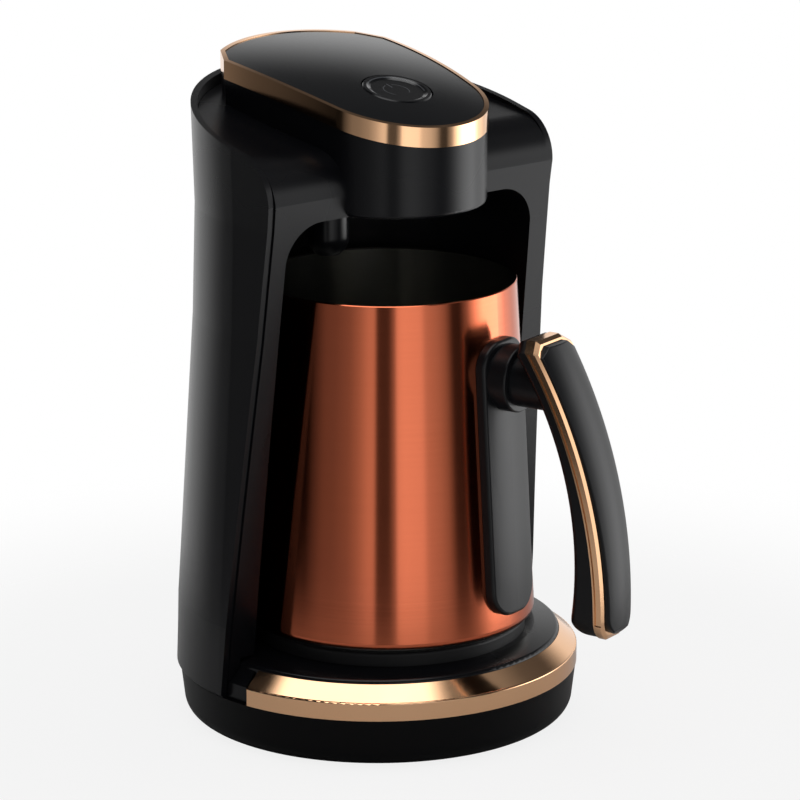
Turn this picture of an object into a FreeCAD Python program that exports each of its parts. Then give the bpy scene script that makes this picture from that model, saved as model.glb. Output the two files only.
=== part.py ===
import FreeCAD, Part
import os
import re
import Sketcher

# Driving sizes in millimetres and degrees. The base's axis, the pot's axis and the dome of the
# head each have one place here, and every piece takes its own place from them.
SIZES = {
    # places of the main axes
    "base_y": 14.9,
    "pot_ahead": 5.5,
    "handle_turn": 16.0,
    # clearances, and how far a cutting block runs past the solid
    "seam_gap": 0.15,
    "slide_gap": 0.3,
    "beyond": 150.0,
    # round base
    "base_radius": 72.8,
    "foot_height": 0.6,
    "foot_sink": 1.4,
    "foot_radius": 7.0,
    "foot_inset": 23.8,
    "foot_turn": 20.0,
    "dish_inset": 0.2,
    "dish_lean": 1.4,
    "dish_corner": 6.2,
    "dish_side_z": 6.5,
    "dish_top_z": 18.4,
    "dish_wall": 2.4,
    # raised deck
    "deck_z": 32.5,
    "deck_edge_z": 31.4,
    "deck_round": 1.4,
    "deck_slope": 9.0,
    "deck_wall": 2.4,
    "flange_gap": 0.5,
    "flange_z": 20.8,
    "shoulder_z": 29.4,
    "shoulder_low_z": 24.4,
    "shoulder_spread": 198.0,
    # metal trim ring of the base
    "ring_width": 6.6,
    "ring_side_z": 24.6,
    "ring_round": 0.6,
    "ring_inner_z": 30.0,
    "ring_wall": 1.4,
    "ring_spread": 159.0,
    # posts and screws that close the base
    "post_inset": 16.8,
    "post_turn": 45.0,
    "post_radius": 4.2,
    "post_split_z": 14.0,
    "screw_radius": 1.5,
    "screw_head_radius": 3.0,
    "screw_head_height": 2.0,
    "screw_sink": 4.0,
    "screw_length": 17.0,
    # hot plate that the pot stands on
    "plate_inset": 3.4,
    "plate_top_z": 37.5,
    "plate_round": 1.2,
    "boss_inset": 7.0,
    "boss_depth": 5.0,
    "clamp_lip": 3.5,
    "clamp_thick": 1.5,
    "element_ring": 31.0,
    "element_tube": 3.0,
    "element_gap": 28.0,
    "thermostat_radius": 7.5,
    "thermostat_height": 4.0,
    # boards
    "board_thick": 1.6,
    "power_board_x": 64.0,
    "power_board_y": 44.0,
    "standoff_inset": 5.0,
    "standoff_height": 4.0,
    "standoff_radius": 3.0,
    "relay_x": 15.0,
    "relay_y": 19.0,
    "relay_height": 15.0,
    "relay_edge": 0.8,
    "terminal_x": 24.0,
    "terminal_y": 9.0,
    "terminal_height": 11.0,
    "terminal_way": 1.6,
    # cord gland in the back of the base
    "gland_z": 12.2,
    "gland_radius": 5.2,
    "gland_bore": 3.3,
    "gland_length": 14.3,
    "gland_proud": 1.0,
    "gland_edge": 0.8,
    "gland_flange": 6.2,
    "gland_flange_thick": 2.5,
    # outer shell of the tower: how far each height leans in from the foot
    "shell_wall": 2.4,
    "shell_proud": 1.0,
    "shell_foot_z": 18.7,
    "shell_foot_round": 1.0,
    "shell_low_z": 45.0,
    "shell_low_lean": 0.8,
    "shell_high_z": 150.0,
    "shell_high_lean": 7.4,
    "shell_waist_z": 190.0,
    "shell_waist_lean": 8.6,
    "shell_crown_z": 240.0,
    "shell_crown_lean": 7.2,
    # side view of the tower, measured back from the base's axis
    "front_foot_y": -1.8,
    "front_foot_z": 18.5,
    "front_brow_y": -21.2,
    "front_brow_z": 199.0,
    "front_bend": 4200.0,
    "brow_round": 17.0,
    "brow_top_y": -7.0,
    "brow_top_z": 214.3,
    "shoulder_back_y": 76.0,
    "shoulder_back_z": 229.4,
    "wing_reach": 40.0,
    "lip_set_back": 0.7,
    "lip_top_z": 1.0,
    "lip_back_z": 4.6,
    # cavity that the pot stands in
    "arch_foot_inset": 11.8,
    "arch_inset": 16.2,
    "arch_side_z": 177.0,
    "arch_round": 15.0,
    "arch_lean": 0.8,
    "arch_ceiling_z": 191.0,
    "liner_wall": 2.6,
    "duct_half": 34.0,
    "duct_front_y": 25.0,
    "duct_low_z": 34.0,
    "duct_high_z": 206.0,
    # head: outline seen from above, and the dome that its top follows
    "dome_radius": 400.0,
    "dome_y": 81.1,
    "dome_z": -157.7,
    "nose_radius": 31.6,
    "nose_y": -9.8,
    "nose_turn": 78.0,
    "flank_radius": 300.0,
    "rear_half": 35.8,
    "rear_y": 39.8,
    "chamfer_half": 30.1,
    "chamfer_y": 49.4,
    "rear_radius": 53.4,
    "head_low_z": 150.0,
    "trim_width": 1.5,
    "trim_height": 6.4,
    "trim_proud": 0.3,
    "head_inset": 0.5,
    "head_wall": 2.2,
    "head_round": 1.6,
    "panel_thick": 2.4,
    "well_half": 25.0,
    "well_front_y": -16.0,
    "well_back_y": 38.0,
    "well_floor_z": 194.0,
    # start button and the board beneath it
    "button_y": -10.9,
    "button_radius": 12.6,
    "button_depth": 3.2,
    "button_dish": 0.7,
    "button_rim": 1.6,
    "button_edge": 0.5,
    "button_web": 1.4,
    "button_skirt": 1.6,
    "button_travel": 1.0,
    "stem_collar": 1.2,
    "plunger_rest": 0.4,
    "plunger_sunk": 1.2,
    "plunger_radius": 1.7,
    "board_depth": 10.5,
    "head_board_x": 38.0,
    "head_board_front": 18.0,
    "head_board_back": 34.0,
    "board_post_x": 15.0,
    "board_post_front": 14.5,
    "board_post_back": 30.0,
    "board_post_radius": 2.6,
    "board_post_gap": 1.6,
    "board_hole": 1.1,
    "board_screw_radius": 1.0,
    "board_screw_head": 2.0,
    "board_screw_top": 1.4,
    "switch_side": 6.2,
    "switch_height": 3.6,
    "buzzer_radius": 6.0,
    "buzzer_height": 5.0,
    "buzzer_back": 19.0,
    # anti-spill sensor that hangs from the ceiling
    "sensor_x": -15.0,
    "sensor_y": 9.5,
    "sensor_radius": 7.6,
    "sensor_drop": 21.0,
    "sensor_flange": 9.6,
    "sensor_flange_thick": 2.0,
    "lens_radius": 3.2,
    "lens_thick": 1.2,
    "lens_seat": 0.6,
    # ribbon cable in the duct behind the liner
    "ribbon_width": 14.0,
    "ribbon_thick": 1.0,
    "ribbon_gap": 0.5,
    # pot
    "rim_radius": 46.4,
    "rim_z": 162.7,
    "rim_round": 0.3,
    "hem_radius": 53.4,
    "hem_z": 41.6,
    "hem_round": 3.8,
    "hem_low_z": 37.8,
    "hem_low_radius": 49.6,
    "pot_wall": 1.2,
    "pot_floor_z": 41.2,
    "sole_radius": 48.2,
    "sole_thick": 2.5,
    # bracket and arm of the handle
    "bracket_half": 13.0,
    "bracket_round": 10.0,
    "bracket_low_z": 46.5,
    "bracket_high_z": 146.5,
    "bracket_thick": 3.4,
    "bracket_edge": 1.3,
    "bracket_seat": 0.05,
    "arm_z": 133.0,
    "arm_radius": 9.6,
    "collar_radius": 12.0,
    "collar_edge": 0.8,
    "collar_end": 57.5,
    "stud_radius": 2.5,
    "stud_weld": 0.1,
    "nut_radius": 4.4,
    "nut_thick": 4.0,
    "nut_depth": 11.0,
    # grip: its frame bends about one axis and its inner face about another
    "grip_bend": 171.6,
    "grip_bend_r": -78.7,
    "grip_bend_z": 53.9,
    "grip_face_radius": 127.5,
    "grip_face_r": -43.4,
    "grip_face_z": 71.4,
    "grip_sweep": 60.0,
    "grip_below": 12.0,
    "grip_top_z": 149.6,
    "grip_low_z": 43.8,
    "grip_corner_side": 4.8,
    "grip_corner_drop": 3.2,
    "grip_half_low": 8.9,
    "grip_half_top": 12.3,
    "grip_tip_r": 91.2,
    "grip_tip_in": 9.3,
    "grip_tip_out": 9.4,
    "grip_inset": 0.4,
    "grip_inner_round": 2.6,
    "grip_trim_depth": 4.0,
    "grip_bevel": 1.1,
    "grip_recess": 0.5,
    "grip_recess_start": 0.6,
    "grip_recess_end": 3.1,
    "grip_recess_low_z": 50.5,
    "grip_rim": 1.6,
    "grip_rim_tip": 2.8,
    "grip_cover_depth": 2.9,
    "grip_crown": 26.0,
    "grip_cover_round": 0.5,
    "cap_z": 54.0,
    "cap_radius": 3.8,
    "cap_depth": 1.2,
    "cap_proud": 0.8,
    "cap_gap": 0.4,
    "grip_screw_head": 2.0,
    "grip_screw_length": 12.5,
}

# Sizes that follow from those above, as formulas on the same sheet
LINKS = {
    "ring_radius": "base_radius",
    "dish_top_radius": "base_radius - dish_inset",
    "dish_side_radius": "dish_top_radius - dish_lean",
    "dish_floor_radius": "dish_side_radius - dish_corner",
    "dish_floor_z": "foot_height + dish_wall",
    "foot_ring": "base_radius - foot_inset",
    "post_ring": "base_radius - post_inset",
    "deck_edge_radius": "base_radius - ring_width",
    "deck_flat_radius": "deck_edge_radius - deck_slope",
    "shell_foot_radius": "base_radius + shell_proud",
    "shell_low_radius": "shell_foot_radius - shell_low_lean",
    "shell_high_radius": "shell_foot_radius - shell_high_lean",
    "shell_waist_radius": "shell_foot_radius - shell_waist_lean",
    "shell_crown_radius": "shell_foot_radius - shell_crown_lean",
    "flange_radius": "shell_foot_radius - shell_wall - flange_gap",
    "gland_out_y": "dish_top_radius + gland_proud",
    "gland_in_y": "gland_out_y - gland_length",
    "board_z": "dish_floor_z + standoff_height",
    "arch_foot_half": "base_radius - arch_foot_inset",
    "arch_half": "base_radius - arch_inset",
    "plate_radius": "hem_radius - plate_inset",
    "boss_radius": "plate_radius - boss_inset",
    "clamp_radius": "boss_radius + clamp_lip",
    "element_z": "deck_z - boss_depth - element_tube",
    "stem_end": "board_depth - switch_height - button_travel - plunger_rest",
    "sensor_low_z": "arch_ceiling_z - sensor_drop",
    "wall_slope": "(hem_radius - rim_radius) / (rim_z - hem_z)",
    "grip_out": "grip_bend + grip_trim_depth",
    "cap_face": "grip_face_r + sqrt(grip_face_radius ^ 2 - (cap_z - grip_face_z) ^ 2)",
    "cap_seat": "cap_face + cap_depth",
    "nut_face": "grip_bend_r + sqrt(grip_bend ^ 2 - (arm_z - grip_bend_z) ^ 2) - nut_depth - nut_thick",
}

doc = FreeCAD.newDocument("coffee_maker")
sheet = doc.addObject("Spreadsheet::Sheet", "Sizes")
NAMES = {**SIZES, **{alias: "=" + text for alias, text in LINKS.items()}}
for row, (alias, size) in enumerate(NAMES.items(), start=1):
    sheet.set("A%d" % row, alias)
    sheet.set("B%d" % row, str(size))
    sheet.setAlias("B%d" % row, alias)
doc.recompute()
gauge = doc.addObject("App::FeaturePython", "Gauge")
PARTS = []


def tied(text):
    """Turn words such as rim_z + 2 into an expression on the sheet."""
    return re.sub(r"[a-z][a-z_]*", lambda word: "Sizes." + word[0] if word[0] in NAMES else word[0], text)


def number(text):
    """Give the present value of an expression."""
    result = gauge.evalExpression(tied(text))
    return float(getattr(result, "Value", result))


def bind(item, **sizes):
    """Tie properties of an object to expressions."""
    for name, text in sizes.items():
        item.setExpression(name.replace("__", "."), tied(text))
    return item


def keep(item, label):
    """List an object as one of the sub-parts and give it its name."""
    item.Label = label
    PARTS.append(item)
    return item


def at_base(item):
    """Stand a piece on the base's axis."""
    return bind(item, Placement__Base__y="base_y")


def at_pot(item):
    """Stand a piece on the pot's axis, with its X axis along the handle."""
    item.Placement = FreeCAD.Placement(FreeCAD.Vector(), FreeCAD.Rotation(FreeCAD.Vector(0, 0, 1), 1))
    return bind(item, Placement__Base__y="base_y - pot_ahead",
                Placement__Rotation__Angle="(handle_turn - 90) * 1deg")


BUTTON_TILT = "asin((dome_y - button_y) / dome_radius)"
BUTTON_Z = "dome_z + sqrt(dome_radius ^ 2 - (dome_y - button_y) ^ 2)"


def at_button(item):
    """Stand a piece on the button's axis, square to the dome, with Z = 0 on the dome."""
    item.Placement = FreeCAD.Placement(FreeCAD.Vector(), FreeCAD.Rotation(FreeCAD.Vector(1, 0, 0), 1))
    return bind(item, Placement__Base__y="base_y + button_y", Placement__Base__z=BUTTON_Z,
                Placement__Rotation__Angle=BUTTON_TILT)


def new_body(name):
    return doc.addObject("PartDesign::Body", name)


def arc_between(start, end, radius):
    """A circle's short arc from start to end, counter-clockwise for a positive radius."""
    chord = end - start
    middle = (start + end) * 0.5
    rise = max(radius ** 2 - (chord.Length / 2) ** 2, 0) ** 0.5
    side = FreeCAD.Vector(-chord.y, chord.x, 0).normalize()
    centre = middle + side * (rise if radius > 0 else -rise)
    first, last = (start, end) if radius > 0 else (end, start)
    circle = Part.Circle(centre, FreeCAD.Vector(0, 0, 1), abs(radius))
    return Part.ArcOfCircle(circle, circle.parameter(first), circle.parameter(last))


def sketch(body, plane, *outlines):
    """A closed sketch on one of the body's own planes. Each outline is a list of corners, and a
    corner with a third word starts an arc of that radius, negative for clockwise. A circle is its
    centre and radius in a tuple by itself. Every size is tied to the sheet."""
    drawing = body.newObject("Sketcher::SketchObject", body.Name + "Sketch")
    base = [face for face in body.Origin.OriginFeatures if face.Role == plane + "_Plane"][0]
    drawing.AttachmentSupport = [(base, "")]
    drawing.MapMode = "FlatFace"

    def tie(kind, *where):
        text = where[-1]
        index = drawing.addConstraint(Sketcher.Constraint(kind, *where[:-1], number(text)))
        drawing.renameConstraint(index, "size%d" % index)
        drawing.setExpression(".Constraints.size%d" % index, tied(text))

    for outline in outlines:
        if isinstance(outline, tuple):
            across, up, radius = outline
            centre = FreeCAD.Vector(number(across), number(up), 0)
            edge = drawing.addGeometry(Part.Circle(centre, FreeCAD.Vector(0, 0, 1), number(radius)))
            tie("Radius", edge, radius)
            tie("DistanceX", -1, 1, edge, 3, across)
            tie("DistanceY", -1, 1, edge, 3, up)
            continue
        corners = [FreeCAD.Vector(number(corner[0]), number(corner[1]), 0) for corner in outline]
        ends = []
        for index, corner in enumerate(outline):
            start, end = corners[index], corners[(index + 1) % len(corners)]
            if len(corner) > 2:
                bend = number(corner[2])
                edge = drawing.addGeometry(arc_between(start, end, bend))
                tie("Radius", edge, corner[2] if bend > 0 else "0 - (%s)" % corner[2])
                ends.append((edge, 1, 2) if bend > 0 else (edge, 2, 1))
            else:
                edge = drawing.addGeometry(Part.LineSegment(start, end))
                ends.append((edge, 1, 2))
        for index, (edge, first, _) in enumerate(ends):
            before = ends[index - 1]
            drawing.addConstraint(Sketcher.Constraint("Coincident", before[0], before[2], edge, first))
            tie("DistanceX", -1, 1, edge, first, outline[index][0])
            tie("DistanceY", -1, 1, edge, first, outline[index][1])
    return drawing


def turn(body, drawing, angle="360", middle=False):
    """Revolve a sketch about its own vertical axis."""
    solid = body.newObject("PartDesign::Revolution", body.Name + "Turn")
    solid.Profile = drawing
    solid.ReferenceAxis = (drawing, ["V_Axis"])
    solid.Midplane = middle
    return bind(solid, Angle=angle)


def pad(body, drawing, length, middle=False, back=False):
    solid = body.newObject("PartDesign::Pad", body.Name + "Pad")
    solid.Profile = drawing
    solid.Midplane = middle
    solid.Reversed = back
    return bind(solid, Length=length)


def pocket(body, drawing, length, middle=False, back=False):
    cut = body.newObject("PartDesign::Pocket", body.Name + "Pocket")
    cut.Profile = drawing
    cut.Midplane = middle
    cut.Reversed = back
    return bind(cut, Length=length)


def raised(drawing, height):
    """Lift a sketch off its plane."""
    bind(drawing, AttachmentOffset__Base__z=height)
    return drawing


def ring_places(radius, start, count=4):
    """Places round a ring as pairs of expressions."""
    angles = ["%s + %g" % (start, 360 * step / count) for step in range(count)]
    return [("%s * cos(%s)" % (radius, angle), "%s * sin(%s)" % (radius, angle)) for angle in angles]


def circles(places, radius):
    return [(across, up, radius) for across, up in places]


def simple(kind, name, **sizes):
    """A Part primitive with its sizes tied."""
    return bind(doc.addObject("Part::" + kind, name), **sizes)


def combine(kind, name, base, tool):
    joined = doc.addObject("Part::" + kind, name)
    joined.Base = base
    joined.Tool = tool
    return joined


def group(name, pieces):
    together = doc.addObject("Part::Compound", name)
    together.Links = pieces
    return together


def eased(kind, name, base, size, chosen, far_size=None):
    """Round or bevel the edges of a solid that pass a test, which is given the edge itself."""
    doc.recompute()
    near, far = number(size), number(far_size or size)
    softer = doc.addObject("Part::" + kind, name)
    softer.Base = base
    numbered = enumerate(base.Shape.Edges, start=1)
    softer.Edges = [(index, near, far) for index, edge in numbered if chosen(edge)]
    return softer


def middle_of(edge):
    return edge.valueAt((edge.FirstParameter + edge.LastParameter) / 2)


POSTS = ring_places("post_ring", "post_turn")
FEET = ring_places("foot_ring", "foot_turn")
STANDOFFS = [("(power_board_x / 2 - standoff_inset) * %d" % side,
              "(power_board_y / 2 - standoff_inset) * %d" % end) for side in (-1, 1) for end in (-1, 1)]


# Lower dish of the base, a black moulding with posts, standoffs and the cord's hole
def base_shell():
    body = new_body("BaseShell")
    profile = [("0", "foot_height"), ("dish_floor_radius", "foot_height", "dish_corner"),
               ("dish_side_radius", "dish_side_z"), ("dish_top_radius", "dish_top_z"),
               ("dish_top_radius - dish_wall", "dish_top_z"),
               ("dish_side_radius - dish_wall", "dish_side_z", "dish_wall - dish_corner"),
               ("dish_floor_radius", "dish_floor_z"), ("0", "dish_floor_z")]
    turn(body, sketch(body, "XZ", profile))
    posts = sketch(body, "XY", *circles(POSTS, "post_radius"))
    pad(body, raised(posts, "foot_height"), "post_split_z - foot_height")
    pads = sketch(body, "XY", *circles(STANDOFFS, "standoff_radius"))
    pad(body, raised(pads, "foot_height"), "dish_wall + standoff_height")
    pocket(body, sketch(body, "XY", *circles(POSTS, "screw_radius + seam_gap")), "post_split_z", back=True)
    heads = sketch(body, "XY", *circles(POSTS, "screw_head_radius + seam_gap"))
    pocket(body, heads, "screw_sink + foot_height", back=True)
    seats = sketch(body, "XY", *circles(FEET, "foot_radius + seam_gap"))
    pocket(body, seats, "foot_height + foot_sink", back=True)
    hole = sketch(body, "XZ", ("0", "gland_z", "gland_radius + seam_gap"))
    pocket(body, hole, "dish_top_radius + dish_wall")
    return at_base(keep(body, "base_shell"))


# Four rubber feet set into the floor of the dish
def rubber_feet():
    feet = []
    for number_of, (across, along) in enumerate(FEET):
        foot = simple("Cylinder", "Foot%d" % number_of, Radius="foot_radius",
                      Height="foot_height + foot_sink")
        feet.append(bind(foot, Placement__Base__x=across, Placement__Base__y=along))
    return at_base(keep(group("Feet", feet), "rubber_feet"))


# Raised deck that the pot stands on, with a flange for the ring and a shoulder for the tower
def deck():
    body = new_body("Deck")
    profile = [("0", "deck_z"), ("deck_flat_radius", "deck_z"),
               ("deck_edge_radius - deck_round", "deck_edge_z", "0 - deck_round"),
               ("deck_edge_radius", "deck_edge_z - deck_round"), ("deck_edge_radius", "flange_z"),
               ("flange_radius", "flange_z"), ("flange_radius", "dish_top_z"),
               ("deck_edge_radius - deck_wall", "dish_top_z"),
               ("deck_edge_radius - deck_wall", "deck_edge_z - deck_wall * 1.25"),
               ("deck_flat_radius", "deck_z - deck_wall"), ("0", "deck_z - deck_wall")]
    turn(body, sketch(body, "XZ", profile))
    inner, low = "deck_edge_radius - deck_wall / 2", "flange_z - deck_wall / 2"
    shoulder = [(inner, low), ("flange_radius", low), ("flange_radius", "shoulder_low_z"),
                ("deck_edge_radius", "shoulder_z"), (inner, "shoulder_z")]
    turn(body, sketch(body, "YZ", shoulder), "shoulder_spread", middle=True)
    posts = sketch(body, "XY", *circles(POSTS, "post_radius"))
    pad(body, raised(posts, "post_split_z"), "deck_edge_z - post_split_z")
    seat = raised(sketch(body, "XY", ("0", "0 - pot_ahead", "boss_radius + seam_gap")), "deck_z")
    pocket(body, seat, "deck_wall * 2")
    holes = raised(sketch(body, "XY", *circles(POSTS, "screw_radius")), "post_split_z")
    pocket(body, holes, "foot_height + screw_sink + screw_length - post_split_z", back=True)
    return at_base(keep(body, "deck"))


# Rose-gold trim ring round the front of the base, a thin plated cap that drops over the flange
def trim_ring():
    body = new_body("TrimRing")
    inner = "deck_edge_radius + seam_gap"
    profile = [("0 - ring_radius", "dish_top_z + seam_gap"),
               ("0 - ring_radius", "ring_side_z", "0 - ring_round"),
               ("ring_round - ring_radius", "ring_side_z + ring_round"),
               ("0 - (%s)" % inner, "ring_inner_z"), ("0 - (%s)" % inner, "ring_inner_z - ring_wall * 1.3"),
               ("ring_wall * 1.4 - ring_radius", "ring_side_z"),
               ("ring_wall - ring_radius", "ring_side_z - ring_wall / 2"),
               ("ring_wall - ring_radius", "dish_top_z + seam_gap")]
    turn(body, sketch(body, "YZ", profile), "ring_spread", middle=True)
    return at_base(keep(body, "trim_ring"))


# Screws that pull the deck onto the dish
def screw(name, radius, head_radius, head_height, length):
    body = new_body(name)
    head = "(%s)" % head_height
    profile = [("0", "0"), (head_radius, "0"), (head_radius, head), (radius, head),
               (radius, length), ("0", length)]
    turn(body, sketch(body, "XZ", profile))
    return body


def base_screws():
    screws = []
    for number_of, (across, along) in enumerate(POSTS):
        piece = screw("BaseScrew%d" % number_of, "screw_radius", "screw_head_radius",
                      "screw_head_height", "screw_length + screw_head_height")
        screws.append(bind(piece, Placement__Base__x=across, Placement__Base__y=along,
                           Placement__Base__z="foot_height + screw_sink - screw_head_height"))
    return at_base(keep(group("BaseScrews", screws), "base_screws"))


# Hot plate: a black cast disc on the deck, with a boss that goes down through it
def hot_plate():
    body = new_body("HotPlate")
    profile = [("0", "deck_z - boss_depth"), ("boss_radius", "deck_z - boss_depth"),
               ("boss_radius", "deck_z"),
               ("plate_radius", "deck_z"), ("plate_radius", "plate_top_z - plate_round", "plate_round"),
               ("plate_radius - plate_round", "plate_top_z"), ("0", "plate_top_z")]
    turn(body, sketch(body, "XZ", profile))
    return at_base_pot(keep(body, "hot_plate"))


# Pressed ring that grips the boss under the deck
def plate_clamp():
    body = new_body("PlateClamp")
    low, high = "deck_z - deck_wall - clamp_thick", "deck_z - deck_wall"
    profile = [("boss_radius", low), ("clamp_radius", low), ("clamp_radius", high), ("boss_radius", high)]
    turn(body, sketch(body, "XZ", profile))
    return at_base_pot(keep(body, "plate_clamp"))


# Tubular heating element, an open loop against the underside of the boss
def heating_element():
    body = new_body("ElementLoop")
    drawing = sketch(body, "XZ", ("element_ring", "element_z", "element_tube"))
    turn(body, drawing, "360 - element_gap")
    keep(body, "heating_element")
    return at_base_pot(body)


# Snap-action thermostat in the middle, bearing on the boss
def thermostat():
    disc = simple("Cylinder", "ThermostatCan", Radius="thermostat_radius", Height="thermostat_height",
                  Placement__Base__z="deck_z - boss_depth - thermostat_height")
    return at_base_pot(keep(disc, "thermostat"))


def at_base_pot(item):
    """Stand a fixed piece on the pot's axis."""
    return bind(item, Placement__Base__y="base_y - pot_ahead")


# Power board on its standoffs, with the relay that switches the element and the cord's terminals
def power_board():
    plate = simple("Box", "PowerPlate", Length="power_board_x", Width="power_board_y",
                   Height="board_thick", Placement__Base__x="0 - power_board_x / 2",
                   Placement__Base__y="0 - power_board_y / 2", Placement__Base__z="board_z")
    return at_base(keep(group("PowerBoard", [plate]), "power_board"))


def relay():
    case = simple("Box", "RelayCase", Length="relay_x", Width="relay_y", Height="relay_height",
                  Placement__Base__x="thermostat_radius + slide_gap * 3",
                  Placement__Base__y="0 - relay_y / 2",
                  Placement__Base__z="board_z + board_thick")
    top = number("board_z + board_thick + relay_height")
    edges = eased("Chamfer", "RelayChamfer", case, "relay_edge", lambda edge: middle_of(edge).z > top - 0.01)
    return at_base(keep(edges, "relay"))


def terminal_block():
    body = new_body("Terminals")
    ways = [("terminal_x * %g" % share, "0", "terminal_way") for share in (-0.3, 0, 0.3)]
    half, deep = "terminal_x / 2", "terminal_y / 2"
    block = [("0 - " + half, "0 - " + deep), (half, "0 - " + deep), (half, deep), ("0 - " + half, deep)]
    pad(body, sketch(body, "XY", block), "terminal_height")
    pocket(body, raised(sketch(body, "XY", *ways), "terminal_height"), "terminal_height / 2")
    keep(body, "terminal_block")
    return bind(body, Placement__Base__y="base_y + power_board_y / 2 - terminal_y / 2 - slide_gap * 3",
                Placement__Base__z="board_z + board_thick")


# Gland that the mains cord enters by, through the back of the dish
def cord_gland():
    body = new_body("CordGland")
    ring = [("gland_bore", "0"), ("gland_flange", "0"), ("gland_flange", "gland_flange_thick"),
            ("gland_radius", "gland_flange_thick"), ("gland_radius", "gland_length - gland_edge"),
            ("gland_radius - gland_edge", "gland_length"), ("gland_bore", "gland_length")]
    turn(body, sketch(body, "XZ", ring))
    body.Placement = FreeCAD.Placement(FreeCAD.Vector(), FreeCAD.Rotation(FreeCAD.Vector(1, 0, 0), -90))
    keep(body, "cord_gland")
    return bind(body, Placement__Base__y="base_y + gland_in_y", Placement__Base__z="gland_z")


def shell_side(inset, sign=""):
    """Points up one side of the tower's wall, moved in by a distance, with the sign 0 - for the left."""
    def across(name):
        return "%s(%s - (%s))" % (sign, name, inset)
    return [(across("shell_foot_radius"), "shell_foot_z"), (across("shell_low_radius"), "shell_low_z"),
            (across("shell_high_radius"), "shell_high_z"), (across("shell_waist_radius"), "shell_waist_z"),
            (across("shell_crown_radius"), "shell_crown_z")]


def wall_outline(sign=""):
    """The shell's wall as a closed section, with a bevel at the outer foot."""
    outer, inner = shell_side("0", sign), shell_side("shell_wall", sign)
    foot = [("%s(shell_foot_radius - shell_foot_round)" % sign, "shell_foot_z"),
            (outer[0][0], "shell_foot_z + shell_foot_round")]
    return foot + outer[1:] + list(reversed(inner))


def tower_side_cut(brow_y, brow_z, top_z, back_z, set_back):
    """All that lies in front of and above the tower, seen from the side."""
    front, high = "front_foot_y + %s" % set_back, "beyond * 2"
    return [("0 - beyond", "0"), (front, "0"), (front, "front_foot_z", "front_bend"),
            (brow_y, brow_z, "0 - brow_round"), ("brow_top_y", top_z), ("shoulder_back_y", back_z),
            ("beyond", back_z), ("beyond", high), ("0 - beyond", high)]


# Outer shell: the smooth black wall round the tower's back and sides, one moulding
def outer_shell():
    body = new_body("OuterShell")
    turn(body, sketch(body, "XZ", wall_outline()), "180")
    pad(body, sketch(body, "XZ", wall_outline()), "wing_reach")
    pad(body, sketch(body, "XZ", wall_outline("0 - ")), "wing_reach")
    edge = tower_side_cut("front_brow_y + lip_set_back", "front_brow_z", "brow_top_z + lip_top_z",
                          "shoulder_back_z + lip_back_z", "lip_set_back")
    pocket(body, sketch(body, "YZ", edge), "beyond * 2", middle=True)
    return at_base(keep(body, "outer_shell"))


def tower_core():
    """The solid space inside the shell, cut to the tower's side view."""
    body = new_body("TowerCore")
    inset = "shell_wall + seam_gap"
    side = shell_side(inset)
    half = [("0", "shell_foot_z")] + side + [("0", "shell_crown_z")]
    turn(body, sketch(body, "XZ", half), "180")
    pad(body, sketch(body, "XZ", side + list(reversed(shell_side(inset, "0 - ")))), "wing_reach")
    edge = tower_side_cut("front_brow_y", "front_brow_z", "brow_top_z", "shoulder_back_z", "0")
    pocket(body, sketch(body, "YZ", edge), "beyond * 2", middle=True)
    return body


def cavity():
    """The space for the pot: an arch seen from the front, turned about the pot's axis behind it."""
    body = new_body("Cavity")
    side = [("arch_foot_half", "0"), ("arch_half", "arch_side_z", "arch_round"),
            ("arch_half - arch_round + arch_lean", "arch_ceiling_z")]
    half = [("0", "0")] + side + [("0", "arch_ceiling_z")]
    both = side + [("arch_round - arch_half - arch_lean", "arch_ceiling_z", "arch_round"),
                   ("0 - arch_half", "arch_side_z"), ("0 - arch_foot_half", "0")]
    turn(body, sketch(body, "XZ", half), "180")
    pad(body, sketch(body, "XZ", both), "beyond")
    return bind(body, Placement__Base__y="0 - pot_ahead")


# Inner fascia: shoulders, front strips, ceiling and liner of the cavity in one black moulding
def inner_fascia():
    hollow = combine("Cut", "FasciaHollow", tower_core(), cavity())
    back = simple("Box", "DuctBox", Length="duct_half * 2", Width="beyond",
                  Height="duct_high_z - duct_low_z", Placement__Base__x="0 - duct_half",
                  Placement__Base__y="duct_front_y", Placement__Base__z="duct_low_z")
    liner = simple("Cylinder", "LinerBack", Radius="arch_foot_half + liner_wall", Height="beyond * 2",
                   Placement__Base__y="0 - pot_ahead")
    duct = combine("Cut", "Duct", back, liner)
    well = simple("Box", "Well", Length="well_half * 2", Width="well_back_y - well_front_y", Height="beyond",
                  Placement__Base__x="0 - well_half", Placement__Base__y="well_front_y",
                  Placement__Base__z="well_floor_z")
    floor_in = simple("Cylinder", "DeckSpace", Radius="deck_edge_radius + seam_gap", Height="deck_z")
    floor_out = simple("Cylinder", "ShoulderSpace", Radius="beyond", Height="shoulder_low_z + slide_gap * 2")
    slope = simple("Cone", "ShoulderSlope", Radius1="flange_radius", Radius2="deck_edge_radius",
                   Height="shoulder_z - shoulder_low_z", Placement__Base__z="shoulder_low_z + slide_gap * 2")
    eye = simple("Cylinder", "SensorHole", Radius="sensor_radius + seam_gap", Height="beyond",
                 Placement__Base__x="sensor_x", Placement__Base__y="sensor_y",
                 Placement__Base__z="sensor_low_z")
    cut = hollow
    for index, tool in enumerate((duct, well, floor_in, floor_out, slope, eye)):
        cut = combine("Cut", "FasciaCut%d" % index, cut, tool)
    return at_base(keep(cut, "inner_fascia"))


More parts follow.
